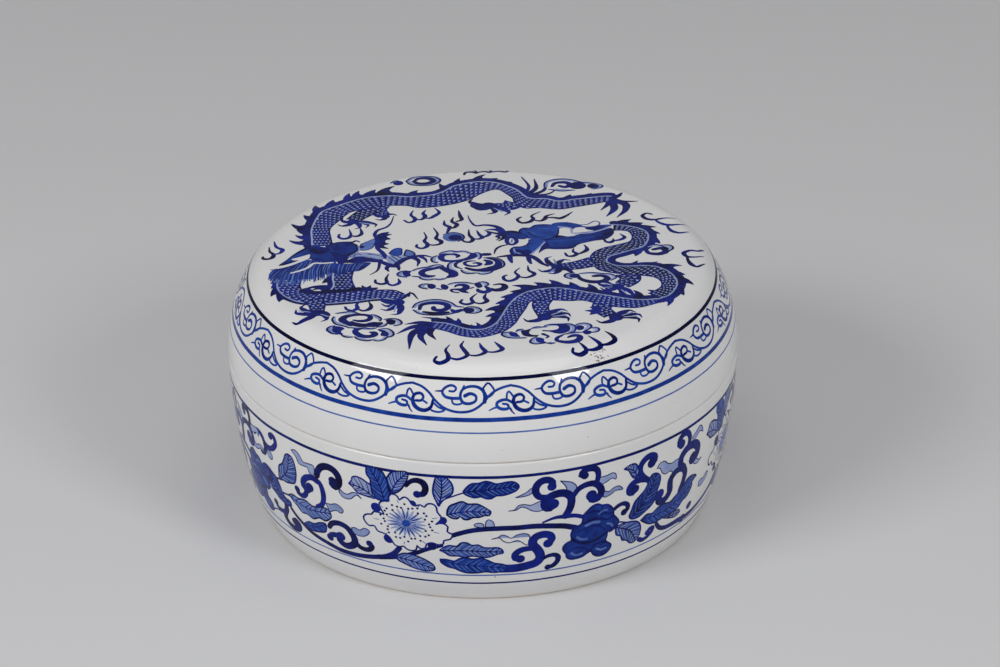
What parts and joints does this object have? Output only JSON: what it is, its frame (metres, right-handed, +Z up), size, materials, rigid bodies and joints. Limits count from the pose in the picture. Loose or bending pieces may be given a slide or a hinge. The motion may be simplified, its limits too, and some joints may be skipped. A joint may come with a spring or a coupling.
{
  "type": "seal paste box",
  "caption": "Round low porcelain box with a blue painted lift-off lid, an upright lip that centres it, and a cake of red seal paste inside.",
  "frame": {"origin": "centre of the foot ring, on the surface that the box stands on", "axes": "+Z up along the box's axis of revolution; -Y is the side nearest the camera in the picture, +X is to the right"},
  "size_m": [0.14, 0.14, 0.0712],
  "materials": {
    "base_porcelain": "gloss",
    "lid_porcelain": "gloss",
    "cinnabar_paste": "satin"
  },
  "bodies": {
    "base": {"box_base": "base_porcelain", "seal_paste": "cinnabar_paste"},
    "lid": {"lid": "lid_porcelain"}
  },
  "joints": [
    {"name": "lid_lift", "type": "slide", "parent": "base", "child": "lid", "axis": [0, 0, 1], "range_m": [0, 0.08]}
  ]
}
